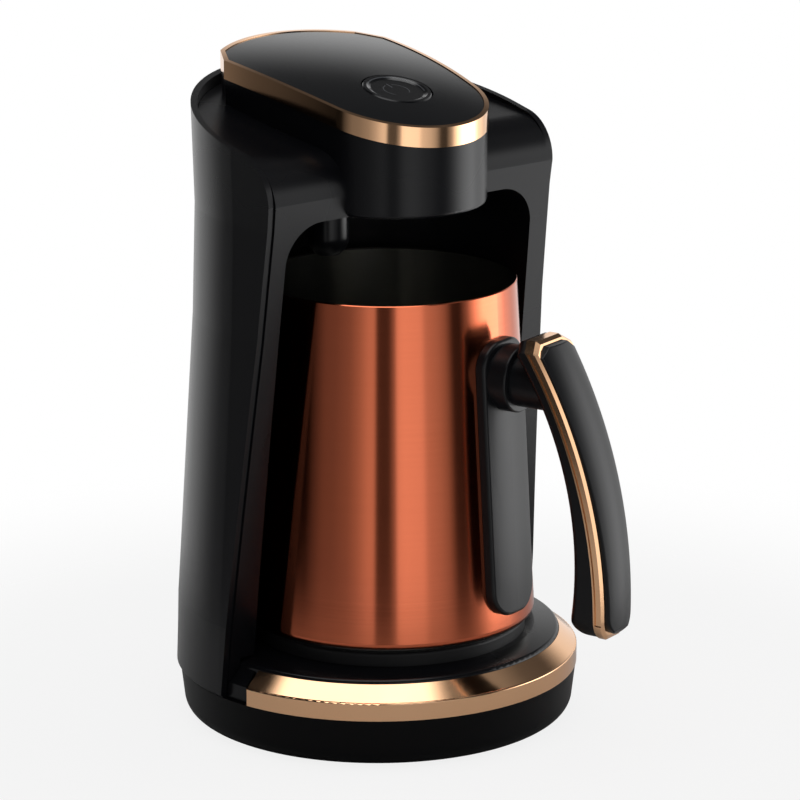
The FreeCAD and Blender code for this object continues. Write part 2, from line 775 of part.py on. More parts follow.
def head_outline(grow):
    """Outline of the head seen from above, moved out by a distance."""
    nose = "(nose_radius + (%s))" % grow
    side_x = "%s * sin(nose_turn)" % nose
    side_y = "nose_y - %s * cos(nose_turn)" % nose
    return [("0 - " + side_x, side_y, nose),
            ("0", "nose_y - " + nose, nose),
            (side_x, side_y, "flank_radius + (%s)" % grow),
            ("rear_half + (%s)" % grow, "rear_y + (%s) / 2" % grow),
            ("chamfer_half + (%s) / 2" % grow, "chamfer_y + (%s)" % grow, "rear_radius + (%s)" % grow),
            ("0 - (chamfer_half + (%s) / 2)" % grow, "chamfer_y + (%s)" % grow),
            ("0 - (rear_half + (%s))" % grow, "rear_y + (%s) / 2" % grow, "flank_radius + (%s)" % grow)]


def head_prism(name, grow, low="head_low_z"):
    body = new_body(name)
    pad(body, raised(sketch(body, "XY", head_outline(grow)), low), "beyond")
    return body


def dome(name, sink):
    """The ball whose top is the head's top, sunk by a distance."""
    return simple("Sphere", name, Radius="dome_radius - (%s)" % sink, Placement__Base__y="dome_y",
                  Placement__Base__z="dome_z")


def tower_prism():
    """The tower's side view as a block across the head, for the housing to sit on."""
    body = new_body("TowerPrism")
    side = [("front_foot_y", "0"), ("beyond", "0"), ("beyond", "shoulder_back_z"),
            ("shoulder_back_y", "shoulder_back_z"), ("brow_top_y", "brow_top_z", "brow_round"),
            ("front_brow_y", "front_brow_z", "0 - front_bend"), ("front_foot_y", "front_foot_z")]
    pad(body, sketch(body, "YZ", side), "beyond * 2", middle=True)
    return body


# Head housing: the black cup of the nose and head between the fascia and the metal band
def head_housing():
    prism = head_prism("HeadPrism", "trim_width - head_inset", "arch_ceiling_z")
    body = combine("Common", "HeadSolid", prism, dome("HeadDome", "trim_height"))
    low = number("arch_ceiling_z")
    soft = eased("Fillet", "HeadSoft", body, "head_round", lambda edge: abs(middle_of(edge).z - low) < 0.01)
    inside = head_prism("HeadInside", "trim_width - head_inset - head_wall", "arch_ceiling_z + head_wall")
    cup = combine("Cut", "HeadCup", soft, inside)
    return at_base(keep(combine("Cut", "HeadSeated", cup, tower_prism()), "head_housing"))


# Rose-gold band round the top of the head
def head_trim():
    outer = combine("Common", "BandOuter", head_prism("BandPrism", "trim_width"),
                    dome("BandTop", "0 - trim_proud"))
    tall = combine("Cut", "BandTall", outer, dome("BandFoot", "trim_height"))
    ring = combine("Cut", "Band", tall, head_prism("BandInside", "0 - seam_gap"))
    return at_base(keep(ring, "head_trim"))


# Glossy black panel inside the band, with a hole for the button and posts for its board
def top_panel():
    plate = combine("Common", "PanelSolid", head_prism("PanelPrism", "0 - seam_gap * 2"),
                    dome("PanelTop", "0"))
    thin = combine("Cut", "PanelThin", plate, dome("PanelUnder", "panel_thick"))
    flat = at_base(thin)
    hole = at_button(simple("Cylinder", "PanelHole", Radius="button_radius + slide_gap",
                            Height="board_depth * 2"))
    centred = combine("Cut", "PanelCut", flat, lowered(hole, "board_depth"))
    posts = [post_at("PanelPost%d" % index, across, along)
             for index, (across, along) in enumerate(BOARD_POSTS)]
    whole = doc.addObject("Part::MultiFuse", "PanelWhole")
    whole.Shapes = [centred] + posts
    return keep(whole, "top_panel")


BOARD_POSTS = [("board_post_x * %d" % side, along) for side in (-1, 1)
               for along in ("0 - board_post_front", "board_post_back")]


def lowered(item, depth):
    """Move a piece down the button's own axis."""
    return bind(item, Placement__Base__y="base_y + button_y + (%s) * sin(%s)" % (depth, BUTTON_TILT),
                Placement__Base__z="%s - (%s) * cos(%s)" % (BUTTON_Z, depth, BUTTON_TILT))


def beside(item, across, along, depth):
    """Move a piece across the button's plane and down its axis."""
    place = "base_y + button_y + (%s) * cos(%s) + (%s) * sin(%s)" % (along, BUTTON_TILT, depth, BUTTON_TILT)
    height = "%s + (%s) * sin(%s) - (%s) * cos(%s)" % (BUTTON_Z, along, BUTTON_TILT, depth, BUTTON_TILT)
    return bind(at_button(item), Placement__Base__x=across, Placement__Base__y=place,
                Placement__Base__z=height)


def post_at(name, across, along):
    """A post from the panel's underside down to the board."""
    post = simple("Cylinder", name, Radius="board_post_radius",
                  Height="board_depth - panel_thick / 2 - board_post_gap")
    return beside(post, across, along, "board_depth")


# Start button: a round cap with a raised rim and a dished face, that travels into the panel
def start_button():
    body = new_body("StartButton")
    web, stem = "0 - button_dish - button_web", "plunger_radius + stem_collar"
    profile = [("0", "0 - button_dish"), ("button_radius - button_rim * 2", "0 - button_dish"),
               ("button_radius - button_rim", "0"), ("button_radius - button_edge", "0"),
               ("button_radius", "0 - button_edge"), ("button_radius", "0 - button_depth"),
               ("button_radius - button_skirt", "0 - button_depth"),
               ("button_radius - button_skirt", web), (stem, web), (stem, "0 - stem_end"),
               ("0", "0 - stem_end")]
    turn(body, sketch(body, "XZ", profile))
    return at_button(keep(body, "start_button"))


# Small switch on the head's board, and its plunger that the button's stem bears on
def switch_plunger():
    rod = simple("Cylinder", "PlungerRod", Radius="plunger_radius",
                 Height="button_travel + plunger_rest + plunger_sunk")
    return beside(keep(rod, "switch_plunger"), "0", "0", "board_depth - switch_height + plunger_sunk")


def start_switch():
    body = new_body("StartSwitch")
    half = "switch_side / 2"
    case = [("0 - " + half, "0 - " + half), (half, "0 - " + half), (half, half), ("0 - " + half, half)]
    pad(body, sketch(body, "XY", case), "switch_height")
    well = raised(sketch(body, "XY", ("0", "0", "plunger_radius + slide_gap")), "switch_height")
    pocket(body, well, "plunger_sunk + button_travel + slide_gap")
    return beside(keep(body, "start_switch"), "0", "0", "board_depth")


def control_board():
    body = new_body("ControlBoard")
    half = "head_board_x / 2"
    plate = [("0 - " + half, "0 - head_board_front"), (half, "0 - head_board_front"),
             (half, "head_board_back"), ("0 - " + half, "head_board_back")]
    pad(body, sketch(body, "XY", plate, *circles(BOARD_POSTS, "board_hole")), "board_thick")
    return beside(keep(body, "control_board"), "0", "0", "board_depth + board_thick")


def board_screws():
    screws = []
    for index, (across, along) in enumerate(BOARD_POSTS):
        piece = screw("BoardScrew%d" % index, "board_screw_radius", "board_screw_head", "board_screw_top",
                      "board_screw_top + board_thick")
        screws.append(beside(piece, across, along, "board_depth + board_thick + board_screw_top"))
    return keep(group("BoardScrews", screws), "board_screws")


def buzzer():
    can = simple("Cylinder", "BuzzerCan", Radius="buzzer_radius", Height="buzzer_height")
    return beside(keep(can, "buzzer"), "0", "buzzer_back", "board_depth")


# Anti-spill sensor: a round pod through the ceiling with a domed end and a small window
def foam_sensor():
    body = new_body("FoamSensor")
    low, top = "sensor_low_z + lens_seat", "well_floor_z + sensor_flange_thick"
    profile = [("lens_radius", low), ("lens_radius + lens_thick", low, "sensor_radius + lens_seat * 2"),
               ("sensor_radius", "sensor_low_z + sensor_radius"), ("sensor_radius", "well_floor_z"),
               ("sensor_flange", "well_floor_z"), ("sensor_flange", top), ("lens_radius", top)]
    turn(body, sketch(body, "XZ", profile))
    keep(body, "foam_sensor")
    return bind(body, Placement__Base__x="sensor_x", Placement__Base__y="base_y + sensor_y")


def sensor_lens():
    lens = simple("Cylinder", "SensorLens", Radius="lens_radius", Height="lens_thick",
                  Placement__Base__x="sensor_x", Placement__Base__y="base_y + sensor_y",
                  Placement__Base__z="sensor_low_z + lens_seat")
    return keep(lens, "sensor_lens")


# Ribbon cable from the base to the head, flat against the back of the liner
def ribbon_cable():
    strip = simple("Box", "Ribbon", Length="ribbon_width", Width="ribbon_thick",
                   Height="duct_high_z - duct_low_z", Placement__Base__x="0 - ribbon_width / 2",
                   Placement__Base__y="base_y - pot_ahead + arch_foot_half + liner_wall + ribbon_gap",
                   Placement__Base__z="duct_low_z")
    return keep(strip, "ribbon_cable")


def wall_at(height, out="0"):
    """Outer radius of the pot at a height, moved out by a distance."""
    return "(rim_radius + (rim_z - (%s)) * wall_slope + (%s))" % (height, out)


# Pot: one drawn shell of stainless steel, lacquered outside, with a plain rim and a round heel
def pot_body():
    body = new_body("PotBody")
    floor_low = "pot_floor_z - pot_wall"
    profile = [("0", "pot_floor_z"), ("hem_radius - pot_wall - hem_round", "pot_floor_z", "hem_round"),
               (wall_at("pot_floor_z + hem_round", "0 - pot_wall"), "pot_floor_z + hem_round"),
               ("rim_radius - pot_wall", "rim_z - rim_round"),
               ("rim_radius - pot_wall + rim_round", "rim_z"), ("rim_radius - rim_round", "rim_z"),
               ("rim_radius", "rim_z - rim_round"),
               ("hem_radius", "hem_z", "0 - hem_round"), ("hem_low_radius", "hem_low_z"),
               ("sole_radius + seam_gap", "hem_low_z"), ("sole_radius + seam_gap", floor_low),
               ("0", floor_low)]
    turn(body, sketch(body, "XZ", profile))
    return at_pot(keep(body, "pot_body"))


# Flat sole of the pot, a thick disc that spreads the heat
def pot_sole():
    disc = simple("Cylinder", "SoleDisc", Radius="sole_radius", Height="sole_thick",
                  Placement__Base__z="plate_top_z")
    return at_pot(keep(group("PotSole", [disc]), "pot_sole"))


def pill_prism(name):
    """A rounded upright block through the pot's wall on the handle's side."""
    body = new_body(name)
    half, low, high, bend = "bracket_half", "bracket_low_z", "bracket_high_z", "bracket_round"
    outline = [("0 - %s + %s" % (half, bend), low), ("%s - %s" % (half, bend), low, bend),
               (half, "%s + %s" % (low, bend)), (half, "%s - %s" % (high, bend), bend),
               ("%s - %s" % (half, bend), high), ("0 - %s + %s" % (half, bend), high, bend),
               ("0 - " + half, "%s - %s" % (high, bend)), ("0 - " + half, "%s + %s" % (low, bend), bend)]
    pad(body, sketch(body, "YZ", outline), "beyond")
    return body


def wall_sleeve(name, inner, outer):
    """A sleeve that follows the pot's tapered wall between two distances from it."""
    body = new_body(name)
    low, high = "hem_z", "rim_z"
    profile = [(wall_at(low, inner), low), (wall_at(low, outer), low),
               (wall_at(high, outer), high), (wall_at(high, inner), high)]
    turn(body, sketch(body, "XZ", profile))
    return body


# Bracket: the upright black strap on the pot's wall that carries the handle
def handle_bracket():
    strap = combine("Common", "BracketStrap", wall_sleeve("BracketSleeve", "bracket_seat", "bracket_thick"),
                    pill_prism("BracketPill"))

    def on_face(edge):
        place = middle_of(edge)
        return (place.x ** 2 + place.y ** 2) ** 0.5 > number(wall_at("%.4f" % place.z, "bracket_thick - 0.1"))
    soft = eased("Fillet", "BracketSoft", strap, "bracket_edge", on_face)
    hole = rod_along("BracketHole", "stud_radius + slide_gap / 2", "0", "grip_bend")
    return at_pot(keep(combine("Cut", "Bracket", soft, hole), "handle_bracket"))


def rod_along(name, radius, start, end, height="arm_z"):
    """A rod that points out along the handle."""
    rod = simple("Cylinder", name, Radius=radius, Height="(%s) - (%s)" % (end, start))
    rod.Placement = FreeCAD.Placement(FreeCAD.Vector(), FreeCAD.Rotation(FreeCAD.Vector(0, 1, 0), 90))
    return bind(rod, Placement__Base__x=start, Placement__Base__z=height)


def sleeve_cutter(name, out):
    """All that lies inside the bracket's outer face."""
    body = new_body(name)
    low, high = "0", "beyond * 2"
    profile = [("0", low), (wall_at(low, out), low), (wall_at(high, out), high), ("0", high)]
    turn(body, sketch(body, "XZ", profile))
    return body


# Arm: a short round bar from the bracket to the grip, with a collar where it leaves the bracket
def arm_collar():
    ring = rod_along("CollarRod", "collar_radius", "0", "collar_end")
    end = number("collar_end")
    soft = eased("Fillet", "CollarSoft", ring, "collar_edge",
                 lambda edge: abs(edge.BoundBox.XMin - end) < 0.01)
    bore = rod_along("CollarBore", "arm_radius", "0", "grip_bend")
    hollow = combine("Cut", "CollarRing", soft, bore)
    seated = combine("Cut", "Collar", hollow, sleeve_cutter("CollarSeat", "bracket_thick"))
    return at_pot(keep(seated, "arm_collar"))


def handle_arm():
    rod = rod_along("ArmRod", "arm_radius", "rim_radius", "grip_bend")
    seated = combine("Cut", "ArmSeated", rod, sleeve_cutter("ArmSeat", "bracket_thick"))
    short = combine("Common", "ArmShort", seated, bend_disc("ArmEnd", "grip_bend"))
    return at_pot(keep(combine("Cut", "Arm", short, arm_bore("ArmBore")), "handle_arm"))


def arm_bore(name):
    """The hollow for the stud that holds the arm, wide at the grip's end for the stud's nut."""
    shank = rod_along(name + "Shank", "stud_radius + slide_gap / 2", "0", "grip_bend")
    seat = rod_along(name + "Seat", "nut_radius + seam_gap", "nut_face", "grip_bend")
    return combine("Fuse", name, shank, seat)


# Stud welded to the pot's wall, and the nut that clamps the bracket and the arm on it
def arm_stud():
    shank = rod_along("StudShank", "stud_radius", wall_at("arm_z", "stud_weld"), "nut_face + nut_thick")
    return at_pot(keep(group("ArmStud", [shank]), "arm_stud"))


def arm_nut():
    nut = rod_along("NutRound", "nut_radius", "nut_face", "nut_face + nut_thick")
    hole = rod_along("NutHole", "stud_radius", "0", "grip_bend")
    return at_pot(keep(combine("Cut", "ArmNut", nut, hole), "arm_nut"))


def bend_disc(name, radius, across="grip_bend_r", height="grip_bend_z"):
    """A wide disc whose round face is one of the grip's bent faces."""
    disc = simple("Cylinder", name, Radius=radius, Height="grip_half_top * 4")
    disc.Placement = FreeCAD.Placement(FreeCAD.Vector(), FreeCAD.Rotation(FreeCAD.Vector(1, 0, 0), 90))
    return bind(disc, Placement__Base__x=across, Placement__Base__y="grip_half_top * 2",
                Placement__Base__z=height)


def bend_layer(name, low, high):
    """All between two bends of the grip's own curve."""
    return combine("Cut", name, bend_disc(name + "Outer", high), bend_disc(name + "Inner", low))


def grip_front(name, inset, tip="0"):
    """The grip seen from outside: wider towards the top, with cut corners above and a round tip."""
    body = new_body(name)
    wide, narrow = "(grip_half_top - (%s))" % inset, "(grip_half_low - (%s))" % inset
    top, low = "(grip_top_z - (%s))" % inset, "(grip_low_z + (%s))" % tip
    outline = [("0 - " + narrow, low + " + " + narrow, narrow), ("0", low, narrow),
               (narrow, low + " + " + narrow), (wide, top + " - grip_corner_drop"),
               (wide + " - grip_corner_side", top), ("grip_corner_side - " + wide, top),
               ("0 - " + wide, top + " - grip_corner_drop")]
    pad(body, sketch(body, "YZ", outline), "beyond")
    return body


def grip_side(name, inset="0"):
    """Side view of the grip's lower end, rounded from its inner to its outer face."""
    body = new_body(name)
    low, high = "(grip_low_z + (%s))" % inset, "grip_top_z + grip_half_top"
    back, front = "grip_tip_r - grip_tip_in", "grip_tip_r + grip_tip_out"
    outline = [(back, low + " + grip_tip_in", "grip_tip_in"), ("grip_tip_r", low, "grip_tip_out"),
               (front, low + " + grip_tip_out"), (front, high), ("0", high), ("0", low + " + grip_tip_in")]
    pad(body, sketch(body, "XZ", outline), "grip_half_top * 4", middle=True)
    return body


def grip_shaped(name, layer, inset, tip="0"):
    """A layer of the grip cut to its front and side views."""
    shaped = combine("Common", name + "Front", layer, grip_front(name + "Outline", inset, tip))
    return combine("Common", name + "Side", shaped, grip_side(name + "End"))


def bend_distance(place):
    """How far a place lies from the axis that the grip bends about."""
    return ((place.x - number("grip_bend_r")) ** 2 + (place.z - number("grip_bend_z")) ** 2) ** 0.5


# Inner half of the grip, which the arm enters, with soft edges for the fingers
def grip_inner():
    face = bend_disc("InnerFace", "grip_face_radius", "grip_face_r", "grip_face_z")
    layer = combine("Cut", "InnerLayer", bend_disc("InnerBack", "grip_bend"), face)
    solid = grip_shaped("GripInner", layer, "grip_inset", "grip_inset")

    def face_edge(edge):
        away = [((end.X - number("grip_face_r")) ** 2 + (end.Z - number("grip_face_z")) ** 2) ** 0.5
                for end in edge.Vertexes]
        return all(abs(reach - number("grip_face_radius")) < 0.01 for reach in away)
    solid = eased("Fillet", "GripInnerSoft", solid, "grip_inner_round", face_edge)
    tools = [rod_along("InnerHole", "arm_radius + seam_gap", "rim_radius", "grip_bend"),
             rod_along("InnerPlugHole", "cap_radius + seam_gap", "0", "cap_seat + grip_screw_head", "cap_z"),
             rod_along("InnerScrewHole", "screw_radius + seam_gap", "0", "grip_bend", "cap_z")]
    for index, tool in enumerate(tools):
        solid = combine("Cut", "GripInnerCut%d" % index, solid, tool)
    return at_pot(keep(solid, "grip_inner"))


# Rose-gold frame between the halves, bevelled outside and with a shallow recess along each side
def grip_trim():
    solid = grip_shaped("GripTrim", bend_layer("TrimLayer", "grip_bend", "grip_out"), "0")
    out = number("grip_out")
    bevelled = eased("Chamfer", "GripTrimBevel", solid, "grip_bevel",
                     lambda edge: all(abs(bend_distance(end.Point) - out) < 0.01 for end in edge.Vertexes))
    strip = bend_layer("RecessLayer", "grip_bend + grip_recess_start", "grip_bend + grip_recess_end")
    band = simple("Box", "RecessHeight", Length="beyond", Width="grip_half_top * 4",
                  Height="grip_top_z - grip_corner_drop - grip_recess_start - grip_recess_low_z",
                  Placement__Base__y="0 - grip_half_top * 2", Placement__Base__z="grip_recess_low_z")
    strip = combine("Common", "RecessStrip", strip, band)
    recess = combine("Cut", "Recess", strip, grip_front("RecessFloor", "grip_recess"))
    cut = combine("Cut", "GripTrimRecessed", bevelled, recess)
    hole = rod_along("TrimScrewHole", "screw_radius + seam_gap", "0", "grip_bend", "cap_z")
    return at_pot(keep(combine("Cut", "GripTrimCut", cut, hole), "grip_trim"))


# Outer cover of the grip, crowned across its width and set inside the frame's rim
def grip_cover():
    body = new_body("CoverCrown")
    low = "grip_out - grip_trim_depth"
    edge = "grip_out + grip_cover_depth - grip_crown + sqrt(grip_crown ^ 2 - grip_half_top ^ 2)"
    outline = [(low, "0 - grip_half_top"), (edge, "0 - grip_half_top", "grip_crown"), (edge, "grip_half_top"),
               (low, "grip_half_top")]
    turn(body, sketch(body, "XY", outline), "grip_sweep")
    body.Placement = FreeCAD.Placement(FreeCAD.Vector(), FreeCAD.Rotation(FreeCAD.Vector(0, 1, 0), 1))
    bind(body, Placement__Base__x="grip_bend_r", Placement__Base__z="grip_bend_z",
         Placement__Rotation__Angle="(grip_below - grip_sweep) * 1deg")
    layer = combine("Cut", "CoverLayer", body, bend_disc("CoverBack", "grip_out"))
    solid = grip_shaped("GripCover", layer, "grip_rim", "grip_rim_tip")
    low_edge = number("grip_out") + 0.05
    soft = eased("Fillet", "GripCoverSoft", solid, "grip_cover_round",
                 lambda edge: all(bend_distance(end.Point) > low_edge for end in edge.Vertexes))
    hole = rod_along("CoverScrewHole", "screw_radius", "0",
                     "cap_seat + grip_screw_head + grip_screw_length", "cap_z")
    return at_pot(keep(combine("Cut", "GripCoverCut", soft, hole), "grip_cover"))


# Screw that holds the frame and the cover to the inner half, and the cap that hides it
def grip_screw():
    neck = "cap_seat + grip_screw_head"
    head = rod_along("GripScrewHead", "cap_radius - cap_gap", "cap_seat", neck, "cap_z")
    shank = rod_along("GripScrewShank", "screw_radius", "cap_seat + grip_screw_head / 2",
                      neck + " + grip_screw_length", "cap_z")
    return at_pot(keep(combine("Fuse", "GripScrew", head, shank), "grip_screw"))


def screw_cap():
    cap = rod_along("CapRound", "cap_radius", "cap_face - cap_proud", "cap_seat", "cap_z")
    return at_pot(keep(group("ScrewCap", [cap]), "screw_cap"))


TASKS = [base_shell, rubber_feet, deck, trim_ring, base_screws, hot_plate, plate_clamp, heating_element,
         thermostat, power_board, relay, terminal_block, cord_gland, outer_shell, inner_fascia,
         head_housing, head_trim, top_panel, start_button, switch_plunger, start_switch,
         control_board, board_screws, buzzer, foam_sensor, sensor_lens, ribbon_cable, pot_body, pot_sole,
         handle_bracket, arm_collar, handle_arm, arm_stud, arm_nut, grip_inner, grip_trim, grip_cover,
         grip_screw, screw_cap]
for task in TASKS:
    task()
doc.recompute()

for item in doc.Objects:
    if "Invalid" in item.State or "Error" in item.State:
        raise RuntimeError("%s didn't compute: %s" % (item.Name, item.State))
for item in PARTS:
    if item.Shape.isNull() or not item.Shape.isValid():
        raise RuntimeError("%s has no valid solid" % item.Label)

os.makedirs("parts", exist_ok=True)
for item in PARTS:
    item.Shape.exportStep("parts/%s.step" % item.Label)
    print("%-18s solids %d  volume %.0f" % (item.Label, len(item.Shape.Solids), item.Shape.Volume))
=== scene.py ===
import math

import bpy
import numpy as np
from mathutils import Matrix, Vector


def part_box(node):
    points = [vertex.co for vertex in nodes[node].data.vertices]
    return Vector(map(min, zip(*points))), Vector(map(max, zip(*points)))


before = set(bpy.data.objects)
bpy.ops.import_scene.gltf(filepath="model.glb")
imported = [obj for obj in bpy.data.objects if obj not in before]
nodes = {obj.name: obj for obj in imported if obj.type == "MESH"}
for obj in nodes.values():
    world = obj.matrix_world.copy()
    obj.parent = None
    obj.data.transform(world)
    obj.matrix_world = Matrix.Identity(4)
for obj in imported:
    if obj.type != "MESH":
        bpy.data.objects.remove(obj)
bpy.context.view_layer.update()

# Camera: a long lens at the photograph's angle, from the front left and a little above the pot's rim. It
# is shifted so that the middle of the pot's rim falls on the pixel that it has in the photograph.
AZIMUTH, PITCH = math.radians(-40.0), math.radians(15.05)
FOCAL_PIXELS, IMAGE_SIZE, DISTANCE = 4050.0, 800, 1.4478
SENSOR_WIDTH = 36.0
RIM_PIXEL = (387.5, 276.0)
pot_low, pot_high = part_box("pot_body")
POT_Y = (pot_low[1] + pot_high[1]) / 2
RIM_Z = pot_high[2]
right = np.array([math.cos(AZIMUTH), math.sin(AZIMUTH), 0.0])
toward = np.array([math.sin(AZIMUTH), -math.cos(AZIMUTH), 0.0])
behind = toward * math.cos(PITCH) + np.array([0.0, 0.0, math.sin(PITCH)])
upward = np.cross(behind, right)
across = (RIM_PIXEL[0] - IMAGE_SIZE / 2) / FOCAL_PIXELS * DISTANCE
above = (IMAGE_SIZE / 2 - RIM_PIXEL[1]) / FOCAL_PIXELS * DISTANCE
stand = np.array([0.0, POT_Y, RIM_Z]) + behind * DISTANCE - right * across - upward * above
view = bpy.data.cameras.new("PhotoView")
view.sensor_width = SENSOR_WIDTH
view.lens = SENSOR_WIDTH * FOCAL_PIXELS / IMAGE_SIZE
eye = bpy.data.objects.new("PhotoView", view)
rows = [[right[i], upward[i], behind[i], stand[i]] for i in range(3)]
eye.matrix_world = Matrix(rows + [[0, 0, 0, 1]])
bpy.context.scene.collection.objects.link(eye)
bpy.context.scene.camera = eye
bpy.context.scene.view_settings.view_transform = "Standard"


# Studio room: white behind the machine, soft lights beside the camera with dark slots between them, a
# strong strip of light to the right, and a soft light overhead. The metal mirrors these as bands.
class Wire:
    """One socket of a node tree. Python's operators on wires and numbers add the matching Math nodes."""

    def __init__(self, tree, socket):
        self.tree, self.socket = tree, socket

    def reckon(self, operation, *terms):
        worker = self.tree.nodes.new("ShaderNodeMath")
        worker.operation = operation
        for slot, term in zip(worker.inputs, terms):
            plug(self.tree, slot, term)
        return Wire(self.tree, worker.outputs[0])

    def __add__(self, other):
        return self.reckon("ADD", self, other)

    def __radd__(self, other):
        return self.reckon("ADD", other, self)

    def __sub__(self, other):
        return self.reckon("SUBTRACT", self, other)

    def __rsub__(self, other):
        return self.reckon("SUBTRACT", other, self)

    def __mul__(self, other):
        return self.reckon("MULTIPLY", self, other)

    def __rmul__(self, other):
        return self.reckon("MULTIPLY", other, self)

    def __truediv__(self, other):
        return self.reckon("DIVIDE", self, other)

    def __pow__(self, other):
        return self.reckon("POWER", self, other)

    def __abs__(self):
        return self.reckon("ABSOLUTE", self)

    def soft(self, low, high):
        """0 below low, 1 above high and a smooth ramp between."""
        slope = add_node(self.tree, "MapRange", settings={"interpolation_type": "SMOOTHSTEP"})
        for slot, term in zip(slope.socket.node.inputs, (self, low, high, 0.0, 1.0)):
            plug(self.tree, slot, term)
        return slope

    def between(self, low, high, blur):
        """1 between low and high, with blurred edges."""
        return self.soft(low - blur, low + blur) * (1.0 - self.soft(high - blur, high + blur))


def plug(tree, socket, term):
    """Link a wire to a socket, or write a plain value on it."""
    if isinstance(term, Wire):
        tree.links.new(term.socket, socket)
    elif isinstance(term, tuple) and len(term) == 3 and len(socket.default_value) == 4:
        socket.default_value = (*term, 1.0)
    else:
        socket.default_value = term


def add_node(tree, kind, output=0, settings=None, **terms):
    """Any other node: its settings first, then its sockets by name."""
    new = tree.nodes.new("ShaderNode" + kind)
    for name, value in (settings or {}).items():
        setattr(new, name, value)
    for name, term in terms.items():
        plug(tree, new.inputs[name.replace("_", " ")], term)
    return Wire(tree, new.outputs[output])


def axes(tree, output):
    """The three parts of one output of Texture Coordinate."""
    parts = add_node(tree, "SeparateXYZ", Vector=add_node(tree, "TexCoord", output)).socket.node
    return [Wire(tree, out) for out in parts.outputs]


def ray(tree, name):
    """1 for rays of one kind, 0 for the rest."""
    return add_node(tree, "LightPath", "Is %s Ray" % name)


# Strength of the walls by degrees round the camera's direction, positive to the picture's right
WALLS = [
    (-180, 0.95), (-132, 0.9), (-114, 0.30), (-98, 0.08), (-80, 0.008), (-69, 0.008), (-63, 0.09),
    (-54, 0.20), (-45, 0.22), (-32, 0.32), (-24, 0.50), (-15, 0.82), (-11, 0.82), (-8.5, 0.08),
    (1.5, 0.08), (4, 0.28), (6.5, 0.40), (8, 1.2), (14, 1.3), (29, 1.2), (33, 0.78), (44, 0.60),
    (51, 0.40), (58, 0.05), (66, 0.04), (74, 0.40), (82, 1.6), (92, 3.6), (112, 3.6), (122, 1.5),
    (140, 0.9), (180, 0.95)]
WALL_PEAK = max(strength for _, strength in WALLS)
FULL_TURN = 360.0
# How far the walls dim towards the ceiling, and the height of the direction over which they do
DIMMING, DIM_FROM, DIM_TO = 0.93, 0.25, 0.52
# The overhead light: its strength, and its soft edges by height, towards the back and to the right
OVERHEAD = 2.2
LAMP_LOW_EDGE, LAMP_BACK_EDGE, LAMP_RIGHT_EDGE = (0.82, 0.88), (-0.45, -0.35), (0.25, 0.40)
# The share of the room's light that falls on dull surfaces
DIFFUSE_SHARE = 0.70
WHITE = (1.0, 1.0, 1.0)
world = bpy.data.worlds.new("StudioRoom")
bpy.context.scene.world = world
world.use_nodes = True
sky = world.node_tree
east, north, height = axes(sky, "Generated")
sideways = east * float(right[0]) + north * float(right[1])
nearer = east * float(toward[0]) + north * float(toward[1])
heading = sideways.reckon("ARCTAN2", sideways, nearer) / (2 * math.pi) + 0.5
wall_ramp = add_node(sky, "ValToRGB", Fac=heading)
stops = wall_ramp.socket.node.color_ramp.elements
for angle, _ in WALLS[1:-1]:
    stops.new((angle + FULL_TURN / 2) / FULL_TURN)
for stop, (_, strength) in zip(stops, WALLS):
    stop.color = (strength / WALL_PEAK,) * 3 + (1.0,)
wall_light = wall_ramp * WALL_PEAK * (1.0 - DIMMING * height.soft(DIM_FROM, DIM_TO))
lamp_shape = height.soft(*LAMP_LOW_EDGE) * nearer.soft(*LAMP_BACK_EDGE)
top_light = OVERHEAD * lamp_shape * (1.0 - sideways.soft(*LAMP_RIGHT_EDGE))
room = (wall_light + top_light) * (DIFFUSE_SHARE + (1.0 - DIFFUSE_SHARE) * ray(sky, "Glossy"))
seen = ray(sky, "Camera") + ray(sky, "Transmission")
backdrop = sky.nodes["Background"]
plug(sky, backdrop.inputs["Color"], WHITE)
plug(sky, backdrop.inputs["Strength"], room * (1.0 - seen) + seen)

# Floor: a white sheet under the machine. It takes the soft shadow and fades into the room, so that no
# edge shows. Part of what the camera sees of it is a plain white glow, which keeps it pale.
SHEET_RADIUS, SHEET_FADE, SHEET_SPARE = 0.34, 0.18, 1.2
SHEET_GLOW = 0.85
PAPER = (0.86, 0.86, 0.86)
half = SHEET_RADIUS * SHEET_SPARE
sheet_mesh = bpy.data.meshes.new("Floor")
corners = [(-half, -half, 0), (half, -half, 0), (half, half, 0), (-half, half, 0)]
sheet_mesh.from_pydata(corners, [], [(0, 1, 2, 3)])
floor = bpy.data.objects.new("Floor", sheet_mesh)
bpy.context.scene.collection.objects.link(floor)
sheet = bpy.data.materials.new("StudioFloor")
sheet.use_nodes = True
paper = sheet.node_tree
paper.nodes.remove(paper.nodes["Principled BSDF"])


def mix_shaders(share, first, second):
    """One shader that turns from the first to the second."""
    mixed = add_node(paper, "MixShader", Fac=share)
    plug(paper, mixed.socket.node.inputs[1], first)
    plug(paper, mixed.socket.node.inputs[2], second)
    return mixed


floor_x, floor_y, _ = axes(paper, "Object")
fading = ((floor_x ** 2.0 + floor_y ** 2.0) ** 0.5).soft(SHEET_RADIUS - SHEET_FADE, SHEET_RADIUS)
lit = add_node(paper, "BsdfDiffuse", Color=PAPER)
glow = add_node(paper, "Emission", Color=WHITE, Strength=1.0)
clear = add_node(paper, "BsdfTransparent", Color=WHITE)
pale = mix_shaders(ray(paper, "Camera") * SHEET_GLOW, lit, glow)
plug(paper, paper.nodes["Material Output"].inputs["Surface"], mix_shaders(fading, pale, clear))
sheet_mesh.materials.append(sheet)


